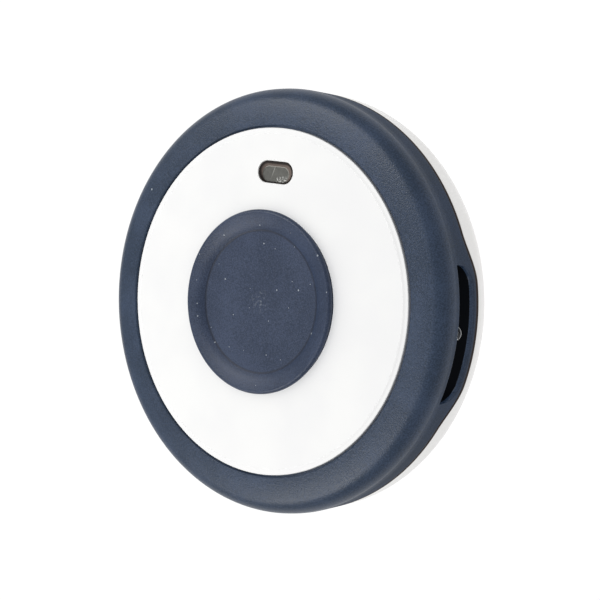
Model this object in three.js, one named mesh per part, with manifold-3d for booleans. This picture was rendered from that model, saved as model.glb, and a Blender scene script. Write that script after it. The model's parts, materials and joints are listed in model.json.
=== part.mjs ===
// Bluetooth tracker tag: a round coin-cell tag with one push button, a status light and two strap slots.
// Millimetres. The tag lies on its back with its origin at the centre of the back face:
// +Z points out of the face, +Y towards the status light, +X towards one of the two strap slots.

import * as THREE from 'three';
import { mergeVertices } from 'three/addons/utils/BufferGeometryUtils.js';
import Module from 'manifold-3d';

const wasm = await Module();
wasm.setup();

// ---- rings of the case, from the coin cell outwards ----
const cellRadius = 10;
const partsRing = 7.5; // room round the cell for the screws and the buzzer
const tongueWall = 0.7;
const tongueClearance = 0.15;
const landWidth = 0.45; // level step between the tongue and the outer wall
const caseWall = 1.2;
const frontEdgeRadius = 2; // rounding between the face and the side
const backEdgeRadius = 3.9; // rounding between the back and the side

// ---- stack of layers, from the back face to the face ----
const backWall = 1.2;
const cellGap = 0.1; // back wall to cell
const cellThickness = 3.2;
const contactRoom = 0.35; // cell to board
const boardThickness = 0.8;
const componentRoom = 1.35; // board to deck
const deckThickness = 0.85; // floor under the face plate
const adhesiveRoom = 0.15;
const plateThickness = 0.6;

// ---- face plate, window and button ----
const plateRadius = 16.2;
const plateGap = 0.2; // between the plate and the housing round it
const buttonRadius = 8.6; // over its rim
const buttonOverhang = 0.35; // rim beyond the side that runs in the hole
const buttonGap = 0.2; // round the button in the hole
const buttonRise = 1; // crest of the button above the face
const buttonRimWidth = 2; // raised rim round the dish
const buttonRimEdge = 0.4; // rounding on both edges of the rim
const buttonRimSlope = 0.5; // width of the steep inside of the rim
const buttonDishDepth = 0.8;
const buttonTravel = 0.5;
const capWall = 0.7; // side wall of the rubber cap
const carrierTop = 0.6; // rigid disc under the rubber
const flangeOverlap = 1.3; // carrier flange beyond the button's side
const flangeThickness = 0.5;
const windowHalfStraight = 1.03;
const windowEndRadius = 1.03;
const windowFromButton = 3.5; // window centre outside the button's side
const windowRecess = 0.55; // lens below the face
const windowFlange = 0.5;
const windowFlangeThickness = 0.4;

// ---- strap slots and pins ----
const slotWidth = 12;
const slotHeight = 2.05;
const slotDepth = 3.6;
const slotCorner = 1.8;
const slotBelowEdge = 0.2; // top of the slot below the end of the edge rounding
const lipThickness = 0.8; // strip of housing under the slot
const slotInnerWall = 0.8;
const pinRadius = 0.45;
const pinClearance = 0.08;
const pinInset = 1.55; // pin axis inside the rim
const pinSeat = 0.8; // depth of the pin's blind end

// ---- parting line, tongue and seal ----
const seamGap = 0.2;
const seamRise = 1.07; // height of the wave beside each slot
const tongueHeight = 1.5; // above the parting line at the slots
const sealThickness = 0.55;

// ---- board and parts on it ----
const boardClearance = 0.35;
const seatGap = 0.05; // between parts that rest on each other
const cellCapInset = 1.1;
const cellCapHeight = 0.25;
const holderWall = 0.8;
const holderClearance = 0.3;
const contactThickness = 0.25;
const contactWidth = 3;
const negativeLength = 7;
const switchSize = 4.5;
const switchHeight = 0.6;
const switchCoverThickness = 0.12;
const plungerRadius = 0.9;
const plungerClearance = 0.12;
const actuatorRadius = 1.5;
const buzzerSize = 5;
const buzzerHeight = 1.9;
const chipSize = 5;
const chipHeight = 0.9;
const partSpacing = 0.3; // least distance between parts on the board

// ---- cover screws ----
const screwCount = 4;
const screwRadius = 0.75;
const screwHeadRadius = 1.3;
const screwHeadHeight = 0.8;
const screwHeadSink = 0.6; // head below the back face
const screwClearance = 0.12;
const screwTubeRadius = 2.2;
const screwBossRadius = 1.9;
const screwBite = 0.3; // screw tip above the underside of the deck

const roundSegments = 96; // on the case
const innerSegments = 48; // on large round parts inside it
const smallSegments = 20; // on small round parts
const edgeSteps = 6; // facets across a rounded edge
const crestSteps = 8; // facets over the button's rim
const rootDepth = 0.2; // how far a tube or a rib is sunk into the wall that it stands on
const overcut = 1; // how far a cutter runs past the surface that it opens

// ---- heights worked out from the stack ----
const cellBottom = backWall + cellGap;
const cellTop = cellBottom + cellThickness;
const boardBottom = cellTop + contactRoom;
const boardTop = boardBottom + boardThickness;
const deckBottom = boardTop + componentRoom;
const deckTop = deckBottom + deckThickness;
const plateBottom = deckTop + adhesiveRoom;
const faceHeight = plateBottom + plateThickness;
const slotTop = faceHeight - frontEdgeRadius - slotBelowEdge;
const slotBottom = slotTop - slotHeight;
const partingHeight = slotBottom - lipThickness;
const tongueTop = partingHeight + tongueHeight;
const sealTop = tongueTop + seatGap + sealThickness;
const flangeTop = deckBottom - buttonGap / 2;
const switchTop = boardTop + seatGap + switchHeight;
const switchCoverTop = switchTop + seatGap + switchCoverThickness;
const plungerTop = switchCoverTop + buttonTravel + seatGap;
const crownBottom = deckTop - buttonGap;
const crownTop = crownBottom + carrierTop;

// ---- plan sizes worked out from the rings ----
const innerRadius = cellRadius + partsRing;
const tongueRadius = innerRadius + tongueWall;
const cavityRadius = tongueRadius + tongueClearance; // inside of the front housing
const bodyRadius = cavityRadius + landWidth + caseWall;
const cavityFlat = bodyRadius - slotDepth - slotInnerWall; // the two flats clear the strap slots
const tongueFlat = cavityFlat - tongueClearance;
const innerFlat = tongueFlat - tongueWall;
const boardRadius = innerRadius - boardClearance;
const boardFlat = innerFlat - boardClearance;
const buttonSide = buttonRadius - buttonOverhang;
const buttonHole = buttonSide + buttonGap;
const flangeRadius = buttonRadius + flangeOverlap;
const windowY = buttonRadius + windowFromButton;
const holderInner = cellRadius + holderClearance;
const holderOuter = holderInner + holderWall;
const screwCircle = Math.max(holderOuter, flangeRadius + partSpacing) + screwTubeRadius + seatGap * 2;
const backFlatRadius = bodyRadius - backEdgeRadius;
const pinX = bodyRadius - pinInset;

// ---- joining and cutting ----

function solidFrom(geometry) {
  const bare = geometry.clone();
  bare.deleteAttribute('normal');
  bare.deleteAttribute('uv');
  const merged = mergeVertices(bare, 1e-4);
  const corners = merged.index.array;
  const kept = [];
  for (let i = 0; i < corners.length; i += 3) {
    const [a, b, c] = corners.slice(i, i + 3);
    if (a !== b && b !== c && c !== a) kept.push(a, b, c);
  }
  return new wasm.Manifold(new wasm.Mesh({
    numProp: 3,
    vertProperties: new Float32Array(merged.getAttribute('position').array),
    triVerts: new Uint32Array(kept),
  }));
}

function geometryFrom(solid) {
  const mesh = solid.getMesh();
  const geometry = new THREE.BufferGeometry();
  geometry.setAttribute('position', new THREE.BufferAttribute(mesh.vertProperties, 3));
  geometry.setIndex(new THREE.BufferAttribute(mesh.triVerts, 1));
  geometry.computeVertexNormals();
  return geometry;
}

// ---- outlines and simple solids ----

// A circle with two straight sides, across X.
function flattedCircle(radius, flat) {
  const corner = Math.acos(Math.min(1, flat / radius));
  const shape = new THREE.Shape();
  shape.absarc(0, 0, radius, corner, Math.PI - corner);
  shape.absarc(0, 0, radius, Math.PI + corner, 2 * Math.PI - corner);
  return shape.closePath();
}

function stadium(halfStraight, radius) {
  const shape = new THREE.Shape();
  shape.absarc(halfStraight, 0, radius, -Math.PI / 2, Math.PI / 2);
  shape.absarc(-halfStraight, 0, radius, Math.PI / 2, 1.5 * Math.PI);
  return shape.closePath();
}

function slab(shape, bottom, top, curveSegments = smallSegments / 2) {
  const geometry = new THREE.ExtrudeGeometry(shape, {
    depth: top - bottom,
    bevelEnabled: false,
    curveSegments,
  });
  return solidFrom(geometry.translate(0, 0, bottom));
}

function wideSlab(shape, bottom, top) {
  return slab(shape, bottom, top, innerSegments / 2);
}

function disc(radius, bottom, top, segments = smallSegments) {
  const geometry = new THREE.CylinderGeometry(radius, radius, top - bottom, segments);
  return solidFrom(geometry.rotateX(Math.PI / 2).translate(0, 0, (bottom + top) / 2));
}

function block(width, length, bottom, top) {
  return solidFrom(new THREE.BoxGeometry(width, length, top - bottom).translate(0, 0, (bottom + top) / 2));
}

// profile: [radius, height] pairs from the axis, out and up, back to the axis
function turned(profile, segments = innerSegments) {
  const points = profile.map(([radius, height]) => new THREE.Vector2(radius, height));
  return solidFrom(new THREE.LatheGeometry(points, segments).rotateX(Math.PI / 2));
}

// A turned body whose profile changes with the angle round the axis.
function turnedWave(profileAt) {
  const rows = profileAt(0).length;
  const positions = [];
  const triangles = [];
  for (let step = 0; step < roundSegments; step += 1) {
    const angle = (2 * Math.PI * step) / roundSegments;
    for (const [radius, height] of profileAt(angle)) {
      positions.push(radius * Math.cos(angle), radius * Math.sin(angle), height);
    }
    const next = (step + 1) % roundSegments;
    for (let row = 0; row < rows - 1; row += 1) {
      const here = step * rows + row;
      const there = next * rows + row;
      triangles.push(here, there, here + 1, here + 1, there, there + 1);
    }
  }
  const geometry = new THREE.BufferGeometry();
  geometry.setAttribute('position', new THREE.Float32BufferAttribute(positions, 3));
  geometry.setIndex(triangles);
  return solidFrom(geometry);
}

// Points on a quarter turn or less, in the plane of a turned profile.
function arc(centreRadius, centreHeight, radius, fromDegrees, toDegrees, steps) {
  return Array.from({ length: steps + 1 }, (_, i) => {
    const angle = THREE.MathUtils.degToRad(fromDegrees + ((toDegrees - fromDegrees) * i) / steps);
    return [centreRadius + radius * Math.cos(angle), centreHeight + radius * Math.sin(angle)];
  });
}

function screwPlaces() {
  return Array.from({ length: screwCount }, (_, i) => {
    const angle = (2 * Math.PI * (i + 0.5)) / screwCount;
    return [screwCircle * Math.cos(angle), screwCircle * Math.sin(angle)];
  });
}

// ---- case ----

// Height of the parting line: level under the slots, rising beside each one and easing down again.
function seamAt(angle) {
  const slotAngle = Math.asin(slotWidth / 2 / bodyRadius);
  const fromSlot = Math.atan2(Math.abs(Math.sin(angle)), Math.abs(Math.cos(angle)));
  const rise = THREE.MathUtils.smoothstep(fromSlot, 0.75 * slotAngle, 1.45 * slotAngle);
  const fall = THREE.MathUtils.smoothstep(fromSlot, 1.45 * slotAngle, 4.3 * slotAngle);
  return partingHeight + seamRise * (rise - fall);
}

// The D-shaped strap slot, cut into the rim on the +X side.
function strapSlot() {
  const half = slotWidth / 2;
  const corner = Math.min(slotCorner, slotHeight - seatGap);
  const shape = new THREE.Shape();
  shape.moveTo(half, slotTop);
  shape.lineTo(-half, slotTop);
  shape.absarc(-half + corner, slotBottom + corner, corner, Math.PI, 1.5 * Math.PI);
  shape.absarc(half - corner, slotBottom + corner, corner, 1.5 * Math.PI, 2 * Math.PI);
  shape.closePath();
  const geometry = new THREE.ExtrudeGeometry(shape, {
    depth: slotDepth + overcut,
    bevelEnabled: false,
    curveSegments: smallSegments / 4,
  });
  const alongX = new THREE.Matrix4().makeBasis(
    new THREE.Vector3(0, 1, 0),
    new THREE.Vector3(0, 0, 1),
    new THREE.Vector3(1, 0, 0),
  );
  return solidFrom(geometry.applyMatrix4(alongX).translate(bodyRadius - slotDepth, 0, 0));
}

function frontHousing() {
  const edgeCentre = [bodyRadius - frontEdgeRadius, faceHeight - frontEdgeRadius];
  const edge = arc(...edgeCentre, frontEdgeRadius, 0, 90, edgeSteps);
  const blank = turnedWave((angle) => [
    [0, partingHeight],
    [innerFlat, seamAt(angle)],
    [bodyRadius, seamAt(angle)],
    ...edge,
    [0, faceHeight],
  ]);
  const slotCutter = strapSlot();
  const pinCutter = disc(pinRadius + pinClearance, -overcut, slotTop + pinSeat).translate(pinX, 0, 0);
  let housing = blank
    .subtract(wideSlab(flattedCircle(cavityRadius, cavityFlat), -overcut, sealTop + seatGap))
    .subtract(wideSlab(flattedCircle(innerRadius, innerFlat), 0, deckBottom))
    .subtract(disc(plateRadius + plateGap, deckTop, faceHeight + overcut, roundSegments))
    .subtract(disc(buttonHole, 0, faceHeight + overcut, roundSegments))
    .subtract(windowCutter());
  for (const turn of [0, 180]) {
    housing = housing
      .subtract(slotCutter.rotate([0, 0, turn]))
      .subtract(pinCutter.rotate([0, 0, turn]));
  }
  for (const [x, y] of screwPlaces()) {
    housing = housing
      .add(disc(screwBossRadius, boardTop + seatGap, deckBottom + rootDepth).translate(x, y, 0))
      .subtract(disc(screwRadius + seatGap, 0, deckBottom + screwBite + seatGap).translate(x, y, 0));
  }
  return housing;
}

function windowCutter() {
  const outline = stadium(windowHalfStraight, windowEndRadius);
  return slab(outline, 0, faceHeight + overcut).translate(0, windowY, 0);
}

// Outside or inside radius of the rear cover at a height, for the given rounding about one shared centre.
function coverRadius(height, rounding) {
  const below = Math.max(0, backEdgeRadius - height);
  return backFlatRadius + Math.sqrt(Math.max(0, rounding ** 2 - below ** 2));
}

// The cover's profile from its flat to its rim: a rounded edge, then straight up where the rim is high.
function coverEdge(rimHeight, rounding) {
  const sine = Math.min(0, (rimHeight - seamGap - backEdgeRadius) / rounding);
  const topAngle = THREE.MathUtils.radToDeg(Math.asin(sine));
  return [
    ...arc(backFlatRadius, backEdgeRadius, rounding, -90, topAngle, edgeSteps),
    [coverRadius(rimHeight, rounding), rimHeight],
  ];
}

function rearCover() {
  const innerRounding = backEdgeRadius - caseWall;
  const shell = turnedWave((angle) => {
    const rimHeight = seamAt(angle) - seamGap;
    return [
      [0, 0],
      ...coverEdge(rimHeight, backEdgeRadius),
      ...coverEdge(rimHeight, innerRounding).reverse(),
      [0, backWall],
    ];
  });
  const tongue = wideSlab(flattedCircle(tongueRadius, tongueFlat), backWall - rootDepth, tongueTop)
    .subtract(wideSlab(flattedCircle(innerRadius, innerFlat), 0, tongueTop + overcut));
  // a pad under each strap slot backs the lip and the pin
  const pad = block(slotDepth - landWidth, slotWidth / 2, backEdgeRadius / 2, partingHeight - seamGap);
  let cover = shell.add(tongue);
  for (const side of [-1, 1]) {
    cover = cover.add(pad.translate(side * (bodyRadius - caseWall - slotDepth / 2), 0, 0));
  }
  for (const [x, y] of screwPlaces()) {
    cover = cover
      .add(disc(screwTubeRadius, backWall - rootDepth, boardBottom - seatGap).translate(x, y, 0))
      .subtract(disc(screwHeadRadius + screwClearance * 2, -overcut, screwSeat()).translate(x, y, 0))
      .subtract(disc(screwRadius + screwClearance, 0, boardBottom).translate(x, y, 0));
  }
  return cover;
}

function caseSeal() {
  const bottom = tongueTop + seatGap;
  return wideSlab(flattedCircle(tongueRadius, tongueFlat), bottom, bottom + sealThickness - seatGap)
    .subtract(wideSlab(flattedCircle(innerRadius, innerFlat), 0, faceHeight));
}

// ---- face ----

function facePlate() {
  return disc(plateRadius, plateBottom, faceHeight, roundSegments)
    .subtract(disc(buttonHole, 0, faceHeight + overcut, roundSegments))
    .subtract(windowCutter());
}

function plateAdhesive() {
  const hole = stadium(windowHalfStraight, windowEndRadius + plateGap);
  return disc(plateRadius - plateGap, deckTop + seatGap / 2, plateBottom - seatGap / 2, roundSegments)
    .subtract(disc(buttonHole + buttonGap, 0, faceHeight, roundSegments))
    .subtract(slab(hole, 0, faceHeight).translate(0, windowY, 0));
}

function lightWindow() {
  const flangeTopHeight = deckBottom - seatGap;
  const stem = stadium(windowHalfStraight, windowEndRadius - seatGap * 2);
  const flange = stadium(windowHalfStraight, windowEndRadius + windowFlange);
  return slab(stem, flangeTopHeight - seatGap, faceHeight - windowRecess)
    .add(slab(flange, flangeTopHeight - windowFlangeThickness, flangeTopHeight))
    .translate(0, windowY, 0);
}

function lightShield() {
  const top = deckBottom - windowFlangeThickness - seatGap * 2;
  return slab(stadium(windowHalfStraight, windowEndRadius + windowFlange / 2), boardTop + seatGap, top)
    .subtract(slab(stadium(windowHalfStraight, windowEndRadius - windowFlange / 2), 0, faceHeight))
    .translate(0, windowY, 0);
}

// ---- button ----

function buttonCap() {
  const crest = faceHeight + buttonRise;
  const edge = buttonRimEdge;
  const dishRadius = buttonRadius - buttonRimWidth;
  const dish = crest - buttonDishDepth;
  return turned([
    [0, crownTop + seatGap],
    [buttonSide - capWall, crownTop + seatGap],
    [buttonSide - capWall, flangeTop + seatGap],
    [buttonSide, flangeTop + seatGap],
    [buttonSide, faceHeight + buttonTravel],
    ...arc(buttonRadius - edge, crest - edge, edge, 0, 90, crestSteps / 2),
    ...arc(dishRadius + buttonRimSlope + edge / 2, crest - edge, edge, 90, 150, crestSteps / 2),
    [dishRadius, dish],
    [0, dish - buttonDishDepth / 10],
  ]);
}

function buttonCarrier() {
  const outer = buttonSide - capWall - seatGap * 2;
  const inner = outer - capWall;
  return turned([
    [0, plungerTop + seatGap * 2],
    [actuatorRadius, plungerTop + seatGap * 2],
    [actuatorRadius, crownBottom],
    [inner, crownBottom],
    [inner, flangeTop - flangeThickness],
    [flangeRadius, flangeTop - flangeThickness],
    [flangeRadius, flangeTop],
    [outer, flangeTop],
    [outer, crownTop],
    [0, crownTop],
  ]);
}

function switchBody() {
  return block(switchSize, switchSize, boardTop + seatGap, switchTop)
    .subtract(disc(plungerRadius + plungerClearance, 0, faceHeight));
}

function switchCover() {
  return block(switchSize - seatGap * 4, switchSize - seatGap * 4, switchTop + seatGap, switchCoverTop)
    .subtract(disc(plungerRadius + plungerClearance, 0, faceHeight));
}

function switchPlunger() {
  return disc(plungerRadius, boardTop + seatGap * 2 + buttonTravel, plungerTop);
}

// ---- board and battery ----

function circuitBoard() {
  let board = wideSlab(flattedCircle(boardRadius, boardFlat), boardBottom, boardTop);
  for (const [x, y] of screwPlaces()) {
    board = board.subtract(disc(screwRadius + screwClearance * 2, 0, faceHeight).translate(x, y, 0));
  }
  return board;
}

function batteryCell() {
  const canTop = cellTop - cellCapHeight;
  const bevel = cellCapHeight;
  return turned([
    [0, cellBottom],
    [cellRadius - bevel, cellBottom],
    [cellRadius, cellBottom + bevel],
    [cellRadius, canTop - bevel],
    [cellRadius - bevel, canTop],
    [cellRadius - cellCapInset, canTop],
    [cellRadius - cellCapInset - bevel, cellTop],
    [0, cellTop],
  ]);
}

function batteryHolder() {
  const notch = block(contactWidth + holderClearance * 2, holderWall * 4, 0, faceHeight);
  return disc(holderOuter, cellBottom + cellThickness / 4, boardBottom - seatGap, innerSegments)
    .subtract(disc(holderInner, 0, faceHeight, innerSegments))
    .subtract(notch.translate(0, holderInner, 0));
}

// An L-shaped spring strip beside the cell, with its foot under the board.
function positiveContact() {
  const face = cellRadius + seatGap;
  const footEnd = holderOuter - seatGap;
  const bottom = cellBottom + cellThickness / 4;
  const top = boardBottom - seatGap;
  const strip = block(contactWidth, contactThickness, bottom, top);
  const foot = block(contactWidth, footEnd - face, top - contactThickness, top);
  return strip.translate(0, face + contactThickness / 2, 0)
    .add(foot.translate(0, (face + footEnd) / 2, 0));
}

// A shallow bowed strip between the cell's small cap and the board.
function negativeContact() {
  const half = negativeLength / 2;
  const thickness = contactRoom / 3;
  const low = cellTop + seatGap;
  const high = boardBottom - seatGap;
  const shape = new THREE.Shape();
  shape.moveTo(-half, high);
  shape.lineTo(-half, high - thickness);
  shape.quadraticCurveTo(0, 2 * low - high + thickness, half, high - thickness);
  shape.lineTo(half, high);
  shape.quadraticCurveTo(0, 2 * low - high + 3 * thickness, -half, high);
  const geometry = new THREE.ExtrudeGeometry(shape, {
    depth: contactWidth,
    bevelEnabled: false,
    curveSegments: 8,
  });
  return solidFrom(geometry.translate(0, 0, -contactWidth / 2).rotateX(Math.PI / 2));
}

function buzzer() {
  const top = boardBottom - seatGap;
  const y = -(holderOuter + partSpacing * 2 + buzzerSize / 2);
  return block(buzzerSize, buzzerSize, top - buzzerHeight, top)
    .subtract(disc(buzzerSize / 8, top - buzzerHeight - overcut, top - buzzerHeight / 2))
    .translate(0, y, 0);
}

// A small part soldered on the face side of the board.
function boardPart(width, length, height, x, y) {
  const bottom = boardTop + seatGap;
  return block(width, length, bottom, bottom + height).translate(x, y, 0);
}

// ---- strap pins and screws ----

function strapPin() {
  return disc(pinRadius, partingHeight + seatGap, slotTop + pinSeat - seatGap * 2).translate(pinX, 0, 0);
}

function screwSeat() {
  return screwHeadSink + screwHeadHeight + seatGap;
}

function coverScrew() {
  const headTop = screwHeadSink + screwHeadHeight;
  const slotCutter = block(screwHeadRadius * 1.6, screwRadius / 2, 0, screwHeadSink + screwHeadHeight / 2);
  return disc(screwHeadRadius, screwHeadSink, headTop)
    .add(disc(screwRadius, headTop - seatGap, deckBottom + screwBite))
    .subtract(slotCutter)
    .subtract(slotCutter.rotate([0, 0, 90]));
}

// ---- finishes ----

function finish(color, roughness, metalness = 0) {
  return new THREE.MeshStandardMaterial({ color, roughness, metalness });
}

const softNavy = finish(0x3b4659, 0.62);
const whitePlastic = finish(0xf2f1ee, 0.45);
const blackPlastic = finish(0x1b1c1f, 0.55);
const navyRubber = finish(0x414c60, 0.7);
const greySilicone = finish(0x8d9299, 0.8);
const clearAdhesive = finish(0xd8d8d2, 0.4);
const smokedClear = finish(0x6a6a66, 0.1);
const steel = finish(0xb9bcc0, 0.3, 1);
const greenBoard = finish(0x1f5a3a, 0.5);
const ceramic = finish(0xc9b98f, 0.5);
const whiteLight = finish(0xf4f1d8, 0.3);

// ---- the tag ----

const tag = new THREE.Group();

function addPart(name, solid, material) {
  const mesh = new THREE.Mesh(geometryFrom(solid), material);
  mesh.name = name;
  tag.add(mesh);
  return mesh;
}

addPart('front_housing', frontHousing(), softNavy);
addPart('rear_cover', rearCover(), whitePlastic);
addPart('case_seal', caseSeal(), greySilicone);
addPart('face_plate', facePlate(), whitePlastic);
addPart('plate_adhesive', plateAdhesive(), clearAdhesive);
addPart('light_window', lightWindow(), smokedClear);
addPart('light_shield', lightShield(), blackPlastic);
addPart('button_cap', buttonCap(), navyRubber);
addPart('button_carrier', buttonCarrier(), blackPlastic);
addPart('switch_body', switchBody(), blackPlastic);
addPart('switch_cover', switchCover(), steel);
addPart('switch_plunger', switchPlunger(), blackPlastic);
addPart('circuit_board', circuitBoard(), greenBoard);
addPart('battery_cell', batteryCell(), steel);
addPart('battery_holder', batteryHolder(), blackPlastic);
addPart('positive_contact', positiveContact(), steel);
addPart('negative_contact', negativeContact(), steel);
addPart('buzzer', buzzer(), blackPlastic);

// parts on the face side keep outside the button's flange
const chipY = -(flangeRadius + partSpacing + chipSize / 2);
const crystalSize = [2.5, 2, 0.7];
const antennaSize = [1.6, 6, 1.1];
const sensorSize = [2, 2, 0.9];
const lightSize = [1.6, 0.8, 0.55];
const chipPartSize = [1, 0.5, 0.5];
const antennaX = boardFlat - partSpacing - antennaSize[0] / 2;
const sensorX = boardFlat - partSpacing - sensorSize[0] / 2;
const crystalX = -(chipSize / 2 + partSpacing * 3 + crystalSize[0] / 2);
const capacitorX = chipSize / 2 + partSpacing * 3 + chipPartSize[0] / 2;
const windowHalfWidth = windowHalfStraight + windowEndRadius + windowFlange;
const resistorX = windowHalfWidth + partSpacing * 2 + chipPartSize[0] / 2;

addPart('bluetooth_chip', boardPart(chipSize, chipSize, chipHeight, 0, chipY), blackPlastic);
addPart('crystal', boardPart(...crystalSize, crystalX, chipY), steel);
addPart('chip_antenna', boardPart(...antennaSize, -antennaX, 0), ceramic);
addPart('motion_sensor', boardPart(...sensorSize, sensorX, 0), blackPlastic);
addPart('status_light', boardPart(...lightSize, 0, windowY), whiteLight);
addPart('light_resistor', boardPart(...chipPartSize, resistorX, windowY), blackPlastic);
for (let i = 0; i < 4; i += 1) {
  const y = chipY + (i - 1.5) * (chipPartSize[1] + partSpacing * 2);
  addPart(`capacitor_${i + 1}`, boardPart(...chipPartSize, capacitorX, y), ceramic);
}

addPart('strap_pin_right', strapPin(), steel);
addPart('strap_pin_left', strapPin(), steel).rotation.z = Math.PI;
screwPlaces().forEach(([x, y], i) => {
  addPart(`cover_screw_${i + 1}`, coverScrew(), steel).position.set(x, y, 0);
});

export default tag;
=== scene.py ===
import json
import math

import bmesh
import bpy
import numpy as np
from mathutils import Matrix, Vector


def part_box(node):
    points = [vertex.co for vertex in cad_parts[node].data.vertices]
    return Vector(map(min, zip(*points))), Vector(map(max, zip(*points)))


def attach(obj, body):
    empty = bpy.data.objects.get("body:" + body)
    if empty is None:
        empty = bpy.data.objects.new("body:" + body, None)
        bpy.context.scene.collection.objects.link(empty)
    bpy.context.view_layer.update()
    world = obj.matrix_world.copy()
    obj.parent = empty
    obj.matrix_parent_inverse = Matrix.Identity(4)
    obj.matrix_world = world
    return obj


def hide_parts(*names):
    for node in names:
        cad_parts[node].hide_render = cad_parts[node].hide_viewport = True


mm = 0.001
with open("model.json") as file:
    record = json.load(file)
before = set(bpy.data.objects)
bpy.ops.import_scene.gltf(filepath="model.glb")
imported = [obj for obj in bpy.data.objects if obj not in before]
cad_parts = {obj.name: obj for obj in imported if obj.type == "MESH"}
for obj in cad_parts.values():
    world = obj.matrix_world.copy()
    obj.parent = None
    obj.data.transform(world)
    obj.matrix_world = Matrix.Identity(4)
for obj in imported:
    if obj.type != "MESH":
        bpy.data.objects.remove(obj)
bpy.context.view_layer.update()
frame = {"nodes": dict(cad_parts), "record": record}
print("frame loaded:", len(frame["nodes"]), "parts")

# sizes that come from the parts in the frame
caseLow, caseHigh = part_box("front_housing")
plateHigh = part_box("face_plate")[1]
buttonLow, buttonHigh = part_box("button_cap")
lensLow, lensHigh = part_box("light_window")
pinLow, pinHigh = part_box("strap_pin_right")

caseRadius = caseHigh.x
partingHeight = caseLow.z  # of the line between the halves, at the strap slots
faceHeight = plateHigh.z
plateRadius = plateHigh.x
buttonRadius = buttonHigh.x
buttonOverhang = 0.35 * mm  # of the button's rim, past its side in the hole
buttonSide = buttonRadius - buttonOverhang
lensY = (lensLow.y + lensHigh.y) / 2
pinX = (pinLow.x + pinHigh.x) / 2

viewpoint = {
    "azimuth": 99.72,  # degrees round from -Y, seen from the +X side
    "elevation": 50.85,
    "roll": 6.3,  # the camera is turned this much
    "distance": 118 * mm,
    "lens": 75.78,  # mm, as is the sensor
    "sensor": 36,
    "shift": (0.0652, 0.0028),  # of the frame, away from the middle of the face
    "clip": (1 * mm, 5),
}


def makeCamera():
    azimuth = math.radians(viewpoint["azimuth"])
    elevation = math.radians(viewpoint["elevation"])
    roll = math.radians(viewpoint["roll"])
    away = Vector((
        math.sin(azimuth) * math.cos(elevation),
        -math.cos(azimuth) * math.cos(elevation),
        math.sin(elevation),
    ))
    # before the roll, the tag's +Y is up in the view
    right = Vector((0, 1, 0)).cross(away).normalized()
    up = away.cross(right)
    target = Vector((0, 0, faceHeight))
    across = right * math.cos(roll) + up * math.sin(roll)
    along = up * math.cos(roll) - right * math.sin(roll)
    data = bpy.data.cameras.new("camera")
    data.lens = viewpoint["lens"]
    data.sensor_width = viewpoint["sensor"]
    data.shift_x, data.shift_y = viewpoint["shift"]
    data.clip_start, data.clip_end = viewpoint["clip"]
    camera = bpy.data.objects.new("camera", data)
    bpy.context.scene.collection.objects.link(camera)
    turn = Matrix((across, along, away)).transposed()
    place = Matrix.Translation(target + away * viewpoint["distance"])
    camera.matrix_world = place @ turn.to_4x4()
    bpy.context.scene.camera = camera


studio = {
    "sky": 0.52,
    "floorColour": (0.22, 0.22, 0.22, 1),
    "floorGlow": 0.8,
    "floorSize": 3,
    # direction from the face, distance, size and watts of each lamp
    "lamps": {
        "upper": ((-0.5, 0.41, 0.76), 0.35, 0.15, 0.44),
        "lower": ((-0.35, -0.55, 0.75), 0.35, 0.15, 0.44),
    },
}


def makeStudio():
    world = bpy.data.worlds.new("studio")
    bpy.context.scene.world = world
    world.use_nodes = True
    sky = world.node_tree.nodes["Background"]
    sky.inputs["Color"].default_value = (1, 1, 1, 1)
    sky.inputs["Strength"].default_value = studio["sky"]
    for name, (direction, distance, size, power) in studio["lamps"].items():
        data = bpy.data.lights.new(name, "AREA")
        data.shape = "DISK"
        data.size = size
        data.energy = power
        data.use_shadow = False  # even light, with only the sky's soft shading in the corners
        lamp = bpy.data.objects.new(name, data)
        bpy.context.scene.collection.objects.link(lamp)
        towards = Vector(direction).normalized()
        lamp.matrix_world = (
            Matrix.Translation(Vector((0, 0, faceHeight)) + towards * distance)
            @ towards.to_track_quat("Z", "Y").to_matrix().to_4x4()
        )
    half = studio["floorSize"] / 2
    corners = [(-half, -half, 0), (half, -half, 0), (half, half, 0), (-half, half, 0)]
    data = bpy.data.meshes.new("floor")
    data.from_pydata(corners, [], [(0, 1, 2, 3)])
    floor = bpy.data.objects.new("floor", data)
    bpy.context.scene.collection.objects.link(floor)
    paint = Paint("paleFloor", {
        "Base Color": studio["floorColour"],
        "Roughness": 0.9,
        "Specular IOR Level": 0.1,
        "Emission Color": (1, 1, 1, 1),
        "Emission Strength": studio["floorGlow"],
    })
    data.materials.append(paint.material)


class Wire:  # an output socket; arithmetic on it adds Math nodes
    def __init__(self, graph, socket):
        self.graph = graph
        self.socket = socket

    def math(self, operation, *others):
        return self.graph.node("ShaderNodeMath", {"operation": operation}, [self, *others])

    def flipped(self, operation, other):
        return self.graph.node("ShaderNodeMath", {"operation": operation}, [other, self])

    def __add__(self, other):
        return self.math("ADD", other)

    def __sub__(self, other):
        return self.math("SUBTRACT", other)

    def __mul__(self, other):
        return self.math("MULTIPLY", other)

    def __pow__(self, other):
        return self.math("POWER", other)

    def __gt__(self, other):
        return self.math("GREATER_THAN", other)

    def __lt__(self, other):
        return self.math("LESS_THAN", other)

    def __radd__(self, other):
        return self.flipped("ADD", other)

    def __rsub__(self, other):
        return self.flipped("SUBTRACT", other)

    def __rmul__(self, other):
        return self.flipped("MULTIPLY", other)

    def __rpow__(self, other):
        return self.flipped("POWER", other)

    def __neg__(self):
        return self * -1


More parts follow.
